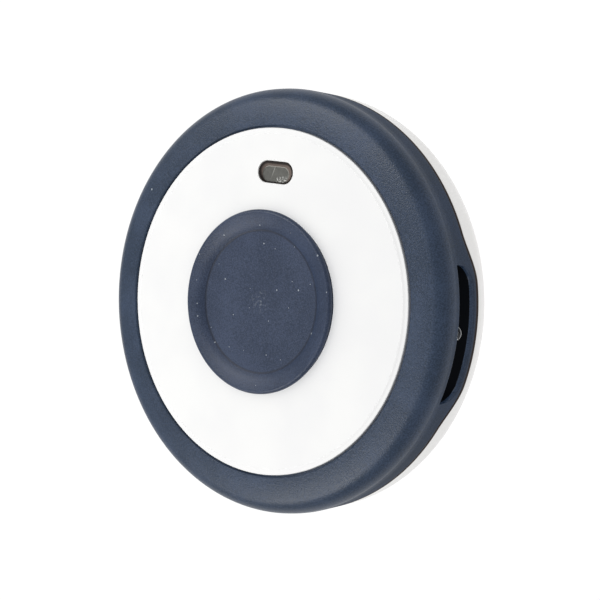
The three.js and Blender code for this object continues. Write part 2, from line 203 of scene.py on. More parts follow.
class Graph:  # a node tree, of a material or of a piece's shape
    def __init__(self, tree):
        self.tree = tree

    def node(self, kind, settings=None, inputs=(), output=0):
        made = self.tree.nodes.new(kind)
        for key, value in (settings or {}).items():
            setattr(made, key, value)
        pairs = inputs.items() if isinstance(inputs, dict) else enumerate(inputs)
        for key, value in pairs:
            if isinstance(value, Wire):
                self.tree.links.new(value.socket, made.inputs[key])
            else:
                made.inputs[key].default_value = value
        return Wire(self, made.outputs[output])


class Paint(Graph):  # a material round one Principled shader
    def __init__(self, name, constants):
        self.material = bpy.data.materials.new(name)
        self.material.use_nodes = True
        super().__init__(self.material.node_tree)
        self.shader = self.tree.nodes["Principled BSDF"]
        for socket, value in constants.items():
            self.shader.inputs[socket].default_value = value

    def feed(self, socket, wire):
        self.tree.links.new(wire.socket, self.shader.inputs[socket])

    def place(self):
        return self.node("ShaderNodeTexCoord", output="Object")

    def axes(self):
        return [self.node("ShaderNodeSeparateXYZ", None, [self.place()], k) for k in range(3)]

    def noise(self, size, detail=2, roughness=0.5):
        return self.node("ShaderNodeTexNoise", None, {
            "Vector": self.place(),
            "Scale": 1 / size,
            "Detail": detail,
            "Roughness": roughness,
        })

    def cells(self, size, output="Distance", flat=False):
        settings = {"voronoi_dimensions": "2D" if flat else "3D"}
        sockets = {"Vector": self.place(), "Scale": 1 / size}
        return self.node("ShaderNodeTexVoronoi", settings, sockets, output)

    def within(self, wire, low, high):  # 0 at low, 1 at high, held outside them
        settings = {"clamp": True, "interpolation_type": "SMOOTHSTEP"}
        sockets = {"Value": wire, "From Min": low, "From Max": high}
        return self.node("ShaderNodeMapRange", settings, sockets)

    def near(self, wire, width, fade):  # 1 where the wire is about 0, 0 past the width
        return self.within(wire.math("ABSOLUTE"), width, fade)

    def mix(self, share, first, second):  # of two colours; the numbers are the colour sockets
        return self.node("ShaderNodeMix", {"data_type": "RGBA"}, {0: share, 6: first, 7: second}, 2)

    def bump(self, height, depth):
        sockets = {"Height": height, "Distance": depth, "Strength": 1}
        self.feed("Normal", self.node("ShaderNodeBump", None, sockets))


def rgb(red, green, blue):  # screen values 0 to 255, made linear
    def linear(value):
        value /= 255
        return value / 12.92 if value <= 0.04045 else ((value + 0.055) / 1.055) ** 2.4
    return (linear(red), linear(green), linear(blue), 1)


softTouch = {
    "colour": rgb(27, 44, 64),
    "paler": rgb(51, 67, 92),
    "clouds": 5 * mm,
    "grain": 0.12 * mm,
    "coarseGrain": 0.372 * mm,
    "grainDepth": 0.03,  # mm
    "dust": rgb(170, 178, 188),
    "dustSize": 0.038,  # of the space between specks
    "dustShare": 0.8,
}

# on the button: painted shade as a dark line in the crease round the dish, and a scuffed middle
buttonCreaseShadeAndScuff = {
    "line": rgb(12, 20, 36),
    "creaseShadeShare": 0.6,
    "lineWidth": 0.17 * mm,
    "scuffRadius": 1.5 * mm,
    "scuffSize": 0.35 * mm,
    "scuffShare": 0.4,
}

# on the housing: painted shadow inside the strap slots, and painted shade making the side a little
# darker than the top; the side is also duller
housingPaintedShade = {
    "slot": rgb(2, 3, 5),
    "slotShare": 0.96,
    "slotInset": 0.35 * mm,
    "slotMetallic": 0.85,
    "side": rgb(8, 20, 36),
    "sideShadeShare": 0.25,
    "sideStart": 1 * mm,  # below the face
    "sideEnd": 2.6 * mm,
    "dull": 0.42,
}


def softTouchPaint(name, colour, paler, roughness, dustSpacing, onButton):
    paint = Paint(name, {"Specular IOR Level": 0.42})
    look = softTouch
    clouds = paint.within(paint.noise(look["clouds"], 3), 0.35, 0.7)
    grain = paint.noise(look["grain"])
    coarse = paint.noise(look["coarseGrain"])
    tone = paint.mix(paint.within(clouds * 0.15 + grain * 0.85, 0.3, 0.7), colour, paler)
    x, y, z = paint.axes()
    fromMiddle = (x * x + y * y) ** 0.5
    dust = dustMask(paint, dustSpacing, look["dustSize"], onButton)
    relief = (grain * 0.8 + coarse * 0.35 + dust * 1.2) * look["grainDepth"]
    if onButton:
        shadeAndWear = buttonCreaseShadeAndScuff
        dishEdge = fromMiddle - (buttonRadius - button["Rim Width"])
        # painted shade: a dark line along the crease at the foot of the dish
        line = paint.near(dishEdge, shadeAndWear["lineWidth"], 0.02 * mm)
        tone = paint.mix(line * shadeAndWear["creaseShadeShare"], tone, shadeAndWear["line"])
        scuff = paint.within(fromMiddle, shadeAndWear["scuffRadius"], 0.2 * mm)
        marks = paint.within(paint.noise(shadeAndWear["scuffSize"], 3), 0.5, 0.75)
        dust = dust + scuff * marks * shadeAndWear["scuffShare"]
    else:
        shade = housingPaintedShade
        # painted shadow inside the strap slots: near black, and metallic so it takes no diffuse
        # light
        below = z < housing["slotTop"] + 0.02 * mm
        inSlot = (fromMiddle < caseRadius - shade["slotInset"]) * below
        tone = paint.mix(inSlot * shade["slotShare"], tone, shade["slot"])
        # painted shade down the side, coming in further below the face
        down = paint.within(z, faceHeight - shade["sideStart"], faceHeight - shade["sideEnd"])
        side = (fromMiddle > caseRadius - 0.04 * mm) * down
        tone = paint.mix(side * shade["sideShadeShare"], tone, shade["side"])
        roughness = roughness + (inSlot + side).math("MINIMUM", 1) * shade["dull"]
        paint.feed("Metallic", inSlot * shade["slotMetallic"])
    paint.feed("Base Color", paint.mix(dust * look["dustShare"], tone, look["dust"]))
    paint.feed("Roughness", (grain - 0.5) * 0.16 + (clouds - 0.5) * 0.06 + roughness)
    paint.bump(relief, mm)
    return paint.material


def dustMask(paint, spacing, size, flat=False):  # a small speck in some of the cells
    distance = paint.cells(spacing, flat=flat)
    chosen = paint.node("ShaderNodeSeparateColor", None, [paint.cells(spacing, "Color", flat)])
    return (distance < chosen * size) * (chosen > 0.4)


whiteFace = {
    "tones": (rgb(243, 243, 243), rgb(247, 247, 246)),
    "clouds": 6 * mm,
    "grain": 0.3 * mm,
    "grainDepth": 0.006 * mm,
    "speck": rgb(170, 168, 165),
    "speckSpacing": 3.4 * mm,
}


def whiteFacePaint():
    look = whiteFace
    paint = Paint("whiteFace", {"Specular IOR Level": 0.35})
    grain = paint.noise(look["grain"], 3)
    clouds = paint.noise(look["clouds"])
    tone = paint.mix(paint.within(clouds, 0.3, 0.7), *look["tones"])
    specks = dustMask(paint, look["speckSpacing"], 0.03)
    paint.feed("Base Color", paint.mix(specks * 0.5, tone, look["speck"]))
    paint.feed("Roughness", 0.42 + grain * 0.12)
    paint.bump(grain, look["grainDepth"])
    return paint.material


whiteCover = {
    "tones": (rgb(247, 246, 244), rgb(251, 250, 249)),
    "clouds": 7 * mm,
    "grain": 0.11 * mm,
    "grainDepth": 0.01 * mm,
    "rim": rgb(48, 38, 34),  # painted shadow down in the seam
}


def whiteCoverPaint():
    look = whiteCover
    paint = Paint("whiteCover", {"Specular IOR Level": 0.4})
    grain = paint.noise(look["grain"])
    clouds = paint.noise(look["clouds"])
    tone = paint.mix(paint.within(clouds, 0.3, 0.7), *look["tones"])
    # painted shadow on the top of the rim, where it lies down in the seam
    shade = paint.node("ShaderNodeAttribute", {"attribute_name": "shade"}, output="Fac")
    paint.feed("Base Color", paint.mix(shade, tone, look["rim"]))
    paint.feed("Roughness", 0.38 + grain * 0.16)
    paint.bump(grain, look["grainDepth"])
    return paint.material


# a smoked lens set in a moulded wall painted dark as shadow towards its outer edge, with a painted
# highlight as a pale line round its upper edge
lensLook = {
    "glass": (rgb(84, 84, 80), rgb(112, 112, 107)),
    "streaks": 0.3 * mm,
    "streakDepth": 0.02 * mm,
    "crease": rgb(176, 176, 170),  # a faint slanting line in the glass
    "creaseWidth": 0.07 * mm,
    "creaseShift": 0.4 * mm,
    "creaseSlant": 0.3,
    "spark": rgb(230, 230, 226),  # glints in one corner
    "sparkSize": 0.16 * mm,
    "sparkSlant": 0.2,
    "wall": (rgb(112, 99, 92), rgb(30, 20, 14)),  # beside the lens, and the painted shadow at its outer edge
    "wallShadowFade": (0.66 * mm, 0.86 * mm),
    "line": rgb(186, 182, 174),
    "lineWidth": 0.06 * mm,
    "highlightSlant": 0.35,
}


def lensPaint():
    w = window
    look = lensLook
    fade = 0.02 * mm
    paint = Paint("smokedLens", {
        "Transmission Weight": 0.15,
        "IOR": 1.49,
        "Coat Roughness": 0.05,
    })
    x, y = paint.axes()[:2]
    streaks = paint.noise(look["streaks"], 3)
    across = x - w["shift"][0]
    along = y - (lensY + w["shift"][1])
    fromOuter = stadiumDistance(x, y - lensY, w["halfStraight"])
    fromInner = stadiumDistance(across, along, w["innerHalf"])
    glass = paint.mix(streaks, *look["glass"])

    slanted = across - along * look["creaseSlant"] + look["creaseShift"]
    crease = paint.near(slanted, look["creaseWidth"], fade)
    crease = crease * paint.within(along, -0.6 * mm, 0.3 * mm)
    glass = paint.mix(crease * 0.6, glass, look["crease"])

    corner = paint.within(along - across * look["sparkSlant"], -0.2 * mm, -0.5 * mm)
    corner = corner * paint.within(across, 0, 0.25 * mm)
    sparks = paint.within(paint.noise(look["sparkSize"]), 0.5, 0.62) * corner
    glass = paint.mix(sparks * 0.8, glass, look["spark"])

    # painted shadow: the wall darkens towards its outer edge
    wall = paint.mix(paint.within(fromOuter, *look["wallShadowFade"]), *look["wall"])
    onWall = paint.within(fromInner, w["inner"] - fade, w["inner"] + fade * 2)
    tone = paint.mix(onWall, glass, wall)
    # painted highlight: a pale line along the lens's upper edge
    line = paint.near(fromInner - w["inner"], look["lineWidth"], fade)
    line = line * paint.within(along + across * look["highlightSlant"], -0.2 * mm, 0.35 * mm)
    paint.feed("Base Color", paint.mix(line * 0.8, tone, look["line"]))
    paint.feed("Roughness", 0.12 + streaks * 0.16 + onWall * 0.6)
    paint.feed("Coat Weight", (0.3 + streaks * 0.3) * (1 - onWall))
    paint.bump(streaks, look["streakDepth"])
    return paint.material


def stadiumDistance(across, along, halfStraight):
    past = (across.math("ABSOLUTE") - halfStraight).math("MAXIMUM", 0)
    return (past * past + along * along) ** 0.5


def metalPaint(name, colour, roughness):
    paint = Paint(name, {"Metallic": 1})
    marks = paint.noise(0.25 * mm, 4, 0.65)
    darker = tuple(part * 0.8 for part in colour[:3]) + (1,)
    paint.feed("Base Color", paint.mix(marks, colour, darker))
    paint.feed("Roughness", roughness + (marks - 0.5) * 0.2)
    paint.bump(marks, 0.004 * mm)
    return paint.material


def mouldedPaint(name, colour, paler, roughness, grainSize=0.12 * mm):
    paint = Paint(name, {})
    grain = paint.noise(grainSize, 3)
    paint.feed("Base Color", paint.mix(paint.within(grain, 0.3, 0.75), colour, paler))
    paint.feed("Roughness", roughness + (grain - 0.5) * 0.2)
    paint.bump(grain, 0.008 * mm)
    return paint.material


def ring(radius, height, count, centre=(0, 0)):
    turns = np.arange(count) * 2 * math.pi / count
    return np.stack([
        centre[0] + radius * np.cos(turns),
        centre[1] + radius * np.sin(turns),
        np.full(count, height),
    ], 1)


def stadiumLoop(halfStraight, radius, height, centre, arcSteps=24):
    right = np.linspace(-math.pi / 2, math.pi / 2, arcSteps + 1)
    turns = np.concatenate([right, right + math.pi])
    shift = np.repeat([halfStraight, -halfStraight], arcSteps + 1)
    return np.stack([
        centre[0] + shift + radius * np.cos(turns),
        centre[1] + radius * np.sin(turns),
        np.full(len(turns), height),
    ], 1)


def arcPoints(centreAcross, centreUp, radius, fromDegrees, toDegrees, steps):
    turns = np.radians(np.linspace(fromDegrees, toDegrees, steps + 1))
    return [(centreAcross + radius * math.cos(t), centreUp + radius * math.sin(t)) for t in turns]


class Skin:  # collects loops of points and joins them into one closed mesh
    def __init__(self):
        self.mesh = bmesh.new()
        self.shade = self.mesh.verts.layers.float.new("shade")

    def mark(self, loop):  # read by the paint as the attribute "shade"
        for vertex in loop:
            vertex[self.shade] = 1

    def loop(self, points):
        return [self.mesh.verts.new(p) for p in points]

    def join(self, lower, upper):
        count = len(lower)
        for i in range(count):
            j = (i + 1) % count
            self.mesh.faces.new((lower[i], lower[j], upper[j], upper[i]))

    def stack(self, loops):
        made = [self.loop(points) for points in loops]
        for lower, upper in zip(made, made[1:]):
            self.join(lower, upper)
        return made

    def cap(self, loop):  # closes a loop with a fan round its middle
        middle = self.mesh.verts.new(sum((v.co for v in loop), Vector()) / len(loop))
        for i, vertex in enumerate(loop):
            self.mesh.faces.new((vertex, loop[(i + 1) % len(loop)], middle))

    def fill(self, *loops):  # a flat area with holes
        edges = []
        for loop in loops:
            for i, vertex in enumerate(loop):
                ends = (vertex, loop[(i + 1) % len(loop)])
                edges.append(self.mesh.edges.get(ends) or self.mesh.edges.new(ends))
        bmesh.ops.triangle_fill(self.mesh, edges=edges, use_beauty=True)

    def finish(self, name, material, sharp):
        bmesh.ops.remove_doubles(self.mesh, verts=self.mesh.verts, dist=1e-7)
        bmesh.ops.recalc_face_normals(self.mesh, faces=self.mesh.faces)
        data = bpy.data.meshes.new(name)
        self.mesh.to_mesh(data)
        self.mesh.free()
        return addPiece(name, data, material, sharp)


def addPiece(name, data, material, sharp):  # edges past the sharp angle stay crisp
    data.shade_smooth()
    data.set_sharp_from_angle(angle=math.radians(sharp))
    data.materials.clear()
    data.materials.append(material)
    piece = bpy.data.objects.new(name, data)
    bpy.context.scene.collection.objects.link(piece)
    return piece


def settle(piece, body, slotName, *nodes):
    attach(piece, body)
    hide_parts(*nodes)


# the line between the front housing and the rear cover
seam = {
    "gap": 0.2 * mm,
    "rise": 1.1 * mm,  # the line dips by this much at each strap slot
    "start": 13,  # degrees from the middle of the slot
    "end": 26,
}


def smooth(value, low, high):
    share = np.clip((value - low) / (high - low), 0, 1)
    return share * share * (3 - 2 * share)


def seamHeight(turns):
    fromSlot = np.degrees(np.arctan2(np.abs(np.sin(turns)), np.abs(np.cos(turns))))
    return partingHeight + seam["rise"] * smooth(fromSlot, seam["start"], seam["end"])


housing = {
    "crownStart": 16.52 * mm,  # highest ring of the crowned top
    "crownRadius": 13.2 * mm,
    "crownEnd": 9,  # degrees of slope where the rounded edge takes over
    "edgeEnd": 83,  # degrees of slope where the edge meets the side
    "edgeInset": 0.05 * mm,  # of the foot of that edge, behind the side
    "sideStart": 0.35 * mm,  # of the side, below that foot
    "grooveGap": 0.2 * mm,
    "lipEdge": 0.12 * mm,
    "slotHalf": 6 * mm,
    "slotTop": 6.4 * mm,
    "slotBottom": 4.22 * mm,
    "slotCorner": 1.8 * mm,
    "slotFloor": 16.4 * mm,
    "slotRound": 0.3 * mm,  # at the back of the slot
    "mouthEdge": 0.16 * mm,
    "mouthChamfer": 0.3 * mm,
    # rows of points down the side: packed just past the slot, spread out further round
    "packedRows": (0.08 * mm, -0.33 * mm),  # first and last, from the slot's top
    "spreadRows": (-0.4 * mm, 0.5 * mm),  # from the foot of the edge, from the parting line
    "spreadOver": 9.0,  # degrees
    "cavity": 18.35 * mm,
    "cavityFlat": 15.6 * mm,
    "deckBottom": 7 * mm,
    "deckTop": 7.85 * mm,
    "deckJoin": 16 * mm,
    "cavityTop": 1.3 * mm,  # a row of points this far below the deck
    "cavityLedge": 0.5 * mm,  # least width of the ledge that carries the deck
    "buttonGap": 0.2 * mm,
    "lensHole": 1.05 * mm,
    "deckCount": 96,
}


def housingStations():
    # angles round a quarter, close together where the slot's corners turn
    half = housing["slotHalf"]
    corner = housing["slotCorner"]
    flat = np.linspace(0, half - corner, 13)[:-1]
    curved = half - corner + corner * np.sin(np.linspace(0, math.pi / 2, 17))
    inside = np.arcsin(np.concatenate([flat, curved]) / caseRadius)
    near = inside[-1] + np.radians([0.12, 0.5, 1.0, 1.6])
    outside = np.linspace(near[-1] + math.radians(0.8), math.pi / 2, 80)
    return np.concatenate([inside, near, outside]), len(inside)


def pocketRows(top, floor, wallX):
    # across and up, from above the slot's mouth, round the pocket and out below it
    h = housing
    height = top - floor
    deep = h["slotFloor"]
    edge = min(h["mouthEdge"], height * 0.3)
    chamfer = min(h["mouthChamfer"], height * 0.5)
    small = min(h["slotRound"], height * 0.3)
    back = deep + small
    ceilingEnd = wallX - edge
    floorEnd = wallX - chamfer
    rows = [
        *arcPoints(ceilingEnd, top + edge, edge, 0, -90, 4),
        *[(ceilingEnd - (ceilingEnd - back) * t, top) for t in (0.15, 0.35, 0.6, 0.85, 1)],
        *arcPoints(back, top - small, small, 90, 180, 3)[1:],
        *[(deep, top - small - (height - 2 * small) * t) for t in (0.25, 0.5, 0.75)],
        *arcPoints(back, floor + small, small, 180, 270, 3),
        *[(back + (floorEnd - back) * t, floor) for t in (0.15, 0.4, 0.65, 0.85, 1)],
        *arcPoints(floorEnd, floor - chamfer, chamfer, 90, 0, 5)[1:],
    ]
    return rows, top + edge, floor - chamfer


def housingProfile(turn, inSlot):
    # points (x, y, z) down one station of the first quarter
    c, s = math.cos(turn), math.sin(turn)
    h = housing

    def radial(pairs):
        return [(r * c, r * s, z) for r, z in pairs]

    def upright(heights):
        return [(caseRadius * c, caseRadius * s, z) for z in heights]

    groove = plateRadius + h["grooveGap"]
    small = h["lipEdge"]
    parting = float(seamHeight(np.array(turn)))
    rows = radial([
        (groove, h["deckTop"]),
        (groove, faceHeight - small * 2),
        *arcPoints(groove + small, faceHeight - small * 1.2, small, 180, 100, 4),
    ])

    # the crowned top, and the rounded edge that takes over from it
    crown = h["crownRadius"]
    crownEnd = math.radians(h["crownEnd"])
    edgeEnd = math.radians(h["edgeEnd"])
    joinRadius = h["crownStart"] + crown * math.sin(crownEnd)
    joinHeight = faceHeight - crown * (1 - math.cos(crownEnd))
    reach = caseRadius - h["edgeInset"] - joinRadius
    edge = reach / (math.sin(edgeEnd) - math.sin(crownEnd))
    join = 90 - h["crownEnd"]
    rows += radial(arcPoints(h["crownStart"], faceHeight - crown, crown, 90, join, 10))
    crestEdge = arcPoints(
        joinRadius - edge * math.sin(crownEnd), joinHeight - edge * math.cos(crownEnd), edge,
        join, 90 - h["edgeEnd"], 18,
    )[1:]
    rows += radial(crestEdge)
    creaseHeight = crestEdge[-1][1]

    # the side of the case, with the pocket pushed in along X where the slot is
    top = h["slotTop"]
    corner = h["slotCorner"]
    past = max(0.0, min(caseRadius * s, h["slotHalf"]) - (h["slotHalf"] - corner))
    floor = h["slotBottom"] + corner - math.sqrt(max(0.0, corner ** 2 - past ** 2))
    wallX = math.sqrt(max(caseRadius ** 2 - (caseRadius * s) ** 2, 0))
    pocket, mouthTop, mouthLow = pocketRows(top, floor, wallX)
    if inSlot:
        side = [(x, caseRadius * s, z) for x, z in pocket]
    else:
        slotEnd = math.asin(h["slotHalf"] / caseRadius)
        share = smooth(math.degrees(turn - slotEnd), 0.0, h["spreadOver"])
        packed = np.linspace(*[top + row for row in h["packedRows"]], len(pocket))
        first, last = h["spreadRows"]
        spread = np.linspace(creaseHeight + first, parting + last, len(pocket))
        heights = packed + (spread - packed) * share
        side = upright(heights)
        mouthTop, mouthLow = heights[0], heights[-1]
    start = creaseHeight - h["sideStart"]
    foot = parting + small * 1.5
    rows += upright(start + (mouthTop - start) * t for t in (0, 0.5))
    rows += side
    rows += upright(mouthLow + (foot - mouthLow) * t for t in (0.35, 0.7, 1))
    rows += radial(arcPoints(caseRadius - small, parting + small, small, 0, -90, 4))

    # the inside, up to the deck
    cavity = min(h["cavity"], h["cavityFlat"] / max(c, 1e-6))
    ledge = min(cavity - h["cavityLedge"], h["deckJoin"])
    rows += radial([
        (cavity, parting),
        (cavity, h["deckBottom"] - h["cavityTop"]),
        (cavity, h["deckBottom"]),
        (ledge, h["deckBottom"]),
        (ledge, h["deckTop"]),
    ])
    return rows


def frontHousing(material):
    turns, slotCount = housingStations()
    quarter = np.array([housingProfile(t, i < slotCount) for i, t in enumerate(turns)])
    left = quarter[-2::-1] * (-1, 1, 1)  # from +Y round to -X
    half = np.concatenate([quarter, left])
    whole = np.concatenate([half, half[-2:0:-1] * (1, -1, 1)])
    skin = Skin()
    stations = [skin.loop(rows) for rows in whole]
    rowCount = len(stations[0])
    for i, here in enumerate(stations):
        there = stations[(i + 1) % len(stations)]
        for k in range(rowCount):
            n = (k + 1) % rowCount
            skin.mesh.faces.new((here[k], here[n], there[n], there[k]))
    deckSkin(skin)
    return skin.finish("frontHousing", material, sharp=34)


def deckSkin(skin):  # the flat floor under the face plate, with holes for the button and lens
    low, high = housing["deckBottom"], housing["deckTop"]
    outer = housing["deckJoin"] + 0.1 * mm
    inner = buttonSide + housing["buttonGap"]
    count = housing["deckCount"]
    lens = (window["halfStraight"], housing["lensHole"])
    lowOuter, highOuter = skin.stack([ring(outer, z, count) for z in (low, high)])
    highInner, lowInner = skin.stack([ring(inner, z, count) for z in (high, low)])
    highLens, lowLens = skin.stack([stadiumLoop(*lens, z, (0, lensY)) for z in (high, low)])
    skin.fill(highOuter, highInner, highLens)
    skin.fill(lowOuter, lowInner, lowLens)


plate = {
    "thickness": 0.6 * mm,
    "borderWidth": 0.42 * mm,
    "borderDrop": 0.04 * mm,
    "borderSlope": (0.02 * mm, -0.05 * mm),  # start and end of the fine step
    "borderFlat": 0.15 * mm,
    "edge": 0.08 * mm,
    "hole": 1.03 * mm,  # half the width of the window's hole
    "buttonGap": 0.08 * mm,
    "count": 288,
}


def facePlate(material):
    p = plate
    top = faceHeight
    low = top - p["thickness"]
    inner = buttonSide + p["buttonGap"]
    edge = p["edge"]
    count = p["count"]
    border = plateRadius - p["borderWidth"]
    dropped = top - p["borderDrop"]
    stepOut, stepIn = p["borderSlope"]
    skin = Skin()
    outer = skin.stack([ring(r, z, count) for r, z in [
        (plateRadius, low),
        (plateRadius, dropped - edge * 2),
        *arcPoints(plateRadius - edge, dropped - edge, edge, 0, 90, 4),
        (plateRadius - 2.2 * edge, dropped),
        (border + stepOut, top - p["borderDrop"] * 0.9),
        (border + stepIn, top),
        (border - p["borderFlat"], top),
    ]])
    half = edge * 0.5
    around = skin.stack([ring(r, z, count) for r, z in [
        (inner + 1.2 * edge, top),
        *arcPoints(inner + half, top - half, half, 90, 180, 4),
        (inner, low),
    ]])
    soft = edge * 0.6
    hole = skin.stack([stadiumLoop(window["halfStraight"], r, z, (0, lensY)) for r, z in [
        (p["hole"] + edge * 1.4, top),
        *arcPoints(p["hole"] + soft, top - soft, soft, 90, 180, 3),
        (p["hole"], low),
    ]])
    skin.fill(outer[-1], around[0], hole[0])
    skin.fill(outer[0], around[-1], hole[-1])
    return skin.finish("facePlate", material, sharp=30)


window = {
    "outer": 0.99 * mm,
    "halfStraight": 1.03 * mm,
    "rimDrop": 0.06 * mm,
    "inner": 0.7 * mm,  # the lens itself, lower in the wall and off its middle
    "innerHalf": 0.84 * mm,
    "innerDrop": 0.3 * mm,
    "shift": (-0.1 * mm, -0.17 * mm),
    "edge": 0.03 * mm,
    "flange": 0.5 * mm,  # width past the wall, under the deck
    "flangeHeight": 0.4 * mm,
    "footInset": 0.24 * mm,
}


def lightWindow(material):
    w = window
    top = faceHeight - w["rimDrop"]
    floor = faceHeight - w["innerDrop"]
    flange = w["outer"] + w["flange"]
    step = lensLow.z + w["flangeHeight"]
    edge = w["edge"]
    outerRows = [
        (w["outer"] - w["footInset"], lensLow.z),
        (flange, lensLow.z),
        (flange, step),
        (w["outer"], step),
        *arcPoints(w["outer"] - edge, top - edge, edge, 0, 90, 3),
    ]
    innerRows = [
        (w["inner"] + edge, floor),
        *arcPoints(w["inner"], floor + edge, edge, 0, 180, 4)[1:-1],
        (w["inner"] - edge * 2, floor),
    ]
    centre = (w["shift"][0], lensY + w["shift"][1])
    skin = Skin()
    loops = skin.stack([
        *[stadiumLoop(w["halfStraight"], r, z, (0, lensY)) for r, z in outerRows],
        *[stadiumLoop(w["innerHalf"], r, z, centre) for r, z in innerRows],
    ])
    skin.cap(loops[0])
    skin.cap(loops[-1])
    return skin.finish("lightWindow", material, sharp=40)


class Maker(Graph):  # a geometry node tree with named inputs
    def __init__(self, name, values):
        super().__init__(bpy.data.node_groups.new(name, "GeometryNodeTree"))
        addSocket = self.tree.interface.new_socket
        self.sockets = {}
        for key, value in values.items():
            kind = "NodeSocketInt" if isinstance(value, int) else "NodeSocketFloat"
            self.sockets[key] = addSocket(key, in_out="INPUT", socket_type=kind)
        addSocket("Geometry", in_out="OUTPUT", socket_type="NodeSocketGeometry")
        self.values = values
        self.given = self.tree.nodes.new("NodeGroupInput")

    def value(self, key):
        return Wire(self, self.given.outputs[key])

    def choose(self, kind, options):  # one option for each point, by its index
        made = self.tree.nodes.new("GeometryNodeIndexSwitch")
        made.data_type = kind
        while len(made.index_switch_items) < len(options):
            made.index_switch_items.new()
        index = self.node("GeometryNodeInputIndex")
        self.tree.links.new(index.socket, made.inputs[0])
        for k, option in enumerate(options):
            if isinstance(option, Wire):
                self.tree.links.new(option.socket, made.inputs[k + 1])
            else:
                made.inputs[k + 1].default_value = option
        return Wire(self, made.outputs[0])

    def turned(self, points, reach, segments):
        # points: radius, height and corner rounding; reach: radius of the path they follow
        combine = "ShaderNodeCombineXYZ"
        places = [self.node(combine, None, [r - reach, -z, 0]) for r, z, _ in points]
        line = self.node("GeometryNodeMeshLine", None, {"Count": len(points)})
        line = self.node("GeometryNodeSetPosition", None, {
            "Geometry": line,
            "Position": self.choose("VECTOR", places),
        })
        line = self.node("GeometryNodeMeshToCurve", None, {"Mesh": line})
        line = self.node("GeometryNodeFilletCurve", {"mode": "POLY"}, {
            "Curve": line,
            "Radius": self.choose("FLOAT", [corner for _, _, corner in points]),
            "Limit Radius": True,
            "Count": 10,
        })
        sizes = {"Resolution": segments, "Radius": reach}
        path = self.node("GeometryNodeCurvePrimitiveCircle", None, sizes)
        swept = self.node("GeometryNodeCurveToMesh", None, {"Curve": path, "Profile Curve": line})
        return self.node("GeometryNodeMergeByDistance", None, {"Geometry": swept, "Distance": 1e-6})

    def build(self, name, geometry, material, sharp):
        joined = self.node("GeometryNodeRealizeInstances", None, [geometry])
        sockets = {"Geometry": joined, "Material": material}
        painted = self.node("GeometryNodeSetMaterial", None, sockets)
        end = self.tree.nodes.new("NodeGroupOutput")
        self.tree.links.new(painted.socket, end.inputs[0])
        holder = bpy.data.objects.new(name, bpy.data.meshes.new(name))
        bpy.context.scene.collection.objects.link(holder)
        modifier = holder.modifiers.new("shape", "NODES")
        modifier.node_group = self.tree
        for key, socket in self.sockets.items():
            modifier[socket.identifier] = self.values[key]
        ready = holder.evaluated_get(bpy.context.evaluated_depsgraph_get())
        data = bpy.data.meshes.new_from_object(ready)
        holder.modifiers.remove(modifier)
        bpy.data.objects.remove(holder)
        solid = bmesh.new()
        solid.from_mesh(data)
        bmesh.ops.recalc_face_normals(solid, faces=solid.faces)
        solid.to_mesh(data)
        solid.free()
        return addPiece(name, data, material, sharp)


button = {
    "Radius": buttonRadius,
    "Side": buttonSide,
    "Crest": buttonHigh.z,
    "Edge": 0.3 * mm,
    "Rim Width": 1.95 * mm,
    "Dish Depth": 0.74 * mm,
    "Dish Sag": 0.06 * mm,  # its middle is lower than its edge
    "Dish Corner": 0.12 * mm,
    "Broad Round": 3 * mm,  # of the dish and the slope round it
    "Overhang Height": 9.12 * mm,  # the flat underside of the rim
    "Overhang Edge": 0.06 * mm,
    "Overhang Corner": 0.03 * mm,
    "Bottom": buttonLow.z,
    "Bottom Edge": 0.05 * mm,
    "Wall": 0.7 * mm,
    "Ceiling": 8.3 * mm,
    "Segments": 288,
}


def buttonCap(material):
    maker = Maker("buttonShape", button)
    v = maker.value
    dish = v("Crest") - v("Dish Depth")
    foot = v("Radius") - v("Rim Width")
    inner = v("Side") - v("Wall")
    zero = v("Radius") * 0
    points = [
        (zero, dish - v("Dish Sag"), 0.0),
        (foot * 0.5, dish - v("Dish Sag") * 0.7, v("Broad Round")),
        (foot, dish, v("Dish Corner")),
        (foot + v("Rim Width") * 0.3, dish + v("Dish Depth") * 0.5, v("Broad Round")),
        (v("Radius"), v("Crest"), v("Edge")),
        (v("Radius"), v("Overhang Height"), v("Overhang Edge")),
        (v("Side"), v("Overhang Height"), v("Overhang Corner")),
        (v("Side"), v("Bottom"), v("Bottom Edge")),
        (inner, v("Bottom"), 0.0),
        (inner, v("Ceiling"), 0.0),
        (zero, v("Ceiling"), 0.0),
    ]
    shape = maker.turned(points, v("Radius"), v("Segments"))
    return maker.build("buttonCap", shape, material, sharp=50)


cover = {
    "rounding": 3 * mm,
    "wall": 1.2 * mm,
    "flatInset": 0.15 * mm,  # of the flat back, inside the start of the rounding
    "rimEdge": 0.1 * mm,
    "rimSide": 0.25 * mm,  # under the rim, where the rounding may stop
    "count": 360,
    "screwCircle": 13.4 * mm,
    "recess": 1.54 * mm,
    "recessDepth": 1.45 * mm,
    "recessChamfer": 0.15 * mm,
    "recessCount": 48,
    "screwHole": 0.87 * mm,
    "tube": 2.2 * mm,
    "tubeTop": 4.8 * mm,
}


def screwPlaces():
    turns = np.radians([45, 135, 225, 315])
    return [(cover["screwCircle"] * math.cos(t), cover["screwCircle"] * math.sin(t)) for t in turns]


def coverRows(turn, rounding):
    # radius and height from the flat to the rim, at one angle
    rimHeight = float(seamHeight(np.array(turn))) - seam["gap"]
    centre = cover["rounding"]
    flat = caseRadius - centre

    def radiusAt(height):
        return flat + math.sqrt(max(0.0, rounding ** 2 - max(0.0, centre - height) ** 2))

    stop = rimHeight - cover["rimSide"]
    topAngle = math.degrees(math.asin(min(0.0, (stop - centre) / rounding)))
    rows = arcPoints(flat, centre, rounding, -90, topAngle, 24)
    middle = (rows[-1][1] + rimHeight - cover["rimEdge"]) / 2
    rows.append((radiusAt(middle), middle))
    return rows, rimHeight, radiusAt


